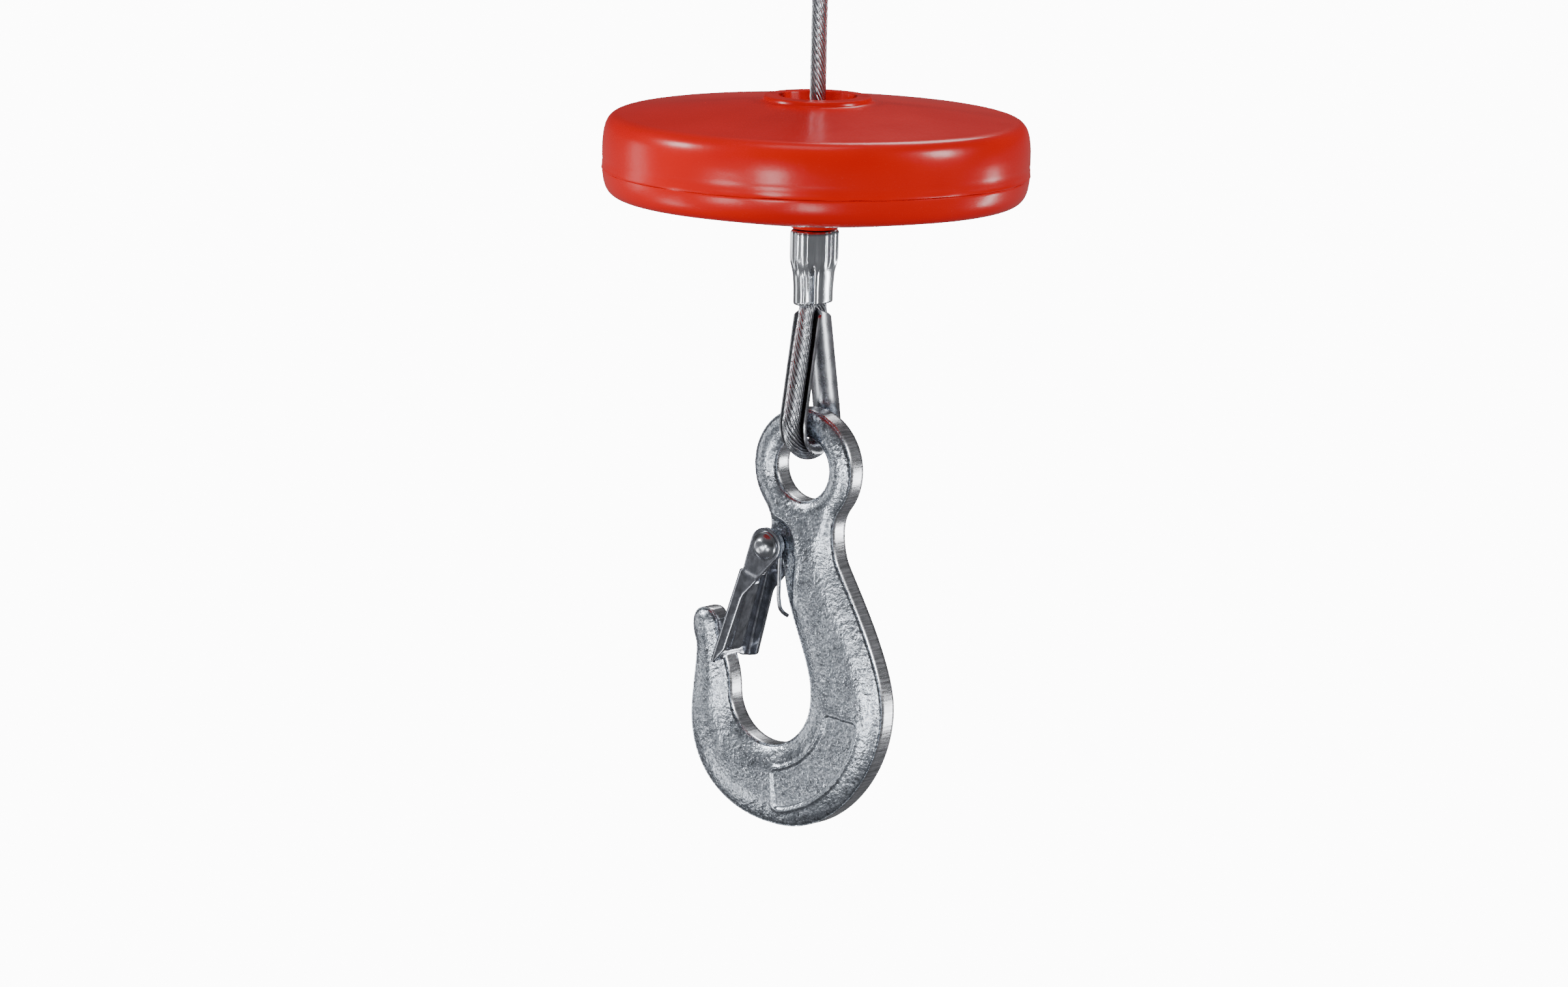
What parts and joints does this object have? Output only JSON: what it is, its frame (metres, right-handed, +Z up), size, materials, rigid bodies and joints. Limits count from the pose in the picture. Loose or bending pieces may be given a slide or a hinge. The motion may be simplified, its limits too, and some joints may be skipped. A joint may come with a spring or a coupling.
{
  "type": "hoist load hook with stop weight",
  "caption": "Forged eye hook with a sprung safety latch on a thimble loop of thin wire rope, under a round red stop weight that slides on the rope.",
  "frame": {"origin": "on the rope's axis, at the load shoulder of the swaged stop at the rope's upper end", "axes": "+Z up along the rope; the hook lies in the XZ plane with its throat towards -X; the rope's loop lies in the YZ plane"},
  "size_m": [0.105, 0.105, 0.2242],
  "materials": {
    "rope_wire": "stranded bright wire with dark gaps",
    "bright_steel": "bright zinc plated sheet",
    "ferrule_alloy": "pressed, satin with draw marks",
    "bush_nylon": "moulded black",
    "red_plastic": "glossy moulded red",
    "ballast_iron": "as cast",
    "forged_zinc": "grainy forged face, zinc plated, brushed trimmed edge",
    "latch_steel": "dark bluish zinc plate",
    "spring_steel": "plated spring wire"
  },
  "bodies": {
    "rope": {"wire_rope": "rope_wire", "drum_stop": "bright_steel", "rope_ferrule": "ferrule_alloy", "thimble": "bright_steel"},
    "bush": {"guide_bush": "bush_nylon"},
    "stop_weight": {"lower_shell": "red_plastic", "upper_shell": "red_plastic", "ballast_ring": "ballast_iron", "shell_screws": "bright_steel"},
    "hook": {"hook_body": "forged_zinc", "latch_rivet": "latch_steel", "latch_spring": "spring_steel"},
    "latch": {"latch_plate": "latch_steel"}
  },
  "joints": [
    {"name": "weight_slide", "type": "slide", "parent": "rope", "child": "bush", "axis": [0, 0, 1], "range_m": [0, 0.041]},
    {"name": "weight_spin", "type": "hinge", "parent": "bush", "child": "stop_weight", "pos_m": [0, 0, -0.046], "axis": [0, 0, 1], "continuous": true},
    {"name": "hook_swing", "type": "hinge", "parent": "rope", "child": "hook", "pos_m": [0, 0, -0.118], "axis": [0, 1, 0], "range_deg": [-60, 60]},
    {"name": "latch_hinge", "type": "hinge", "parent": "hook", "child": "latch", "pos_m": [-0.00825, 0, -0.1419], "axis": [0, -1, 0], "range_deg": [0, 40], "stiffness_Nm_per_rad": 0.03, "springref_deg": -34.38, "deforming": ["latch_spring"]}
  ]
}
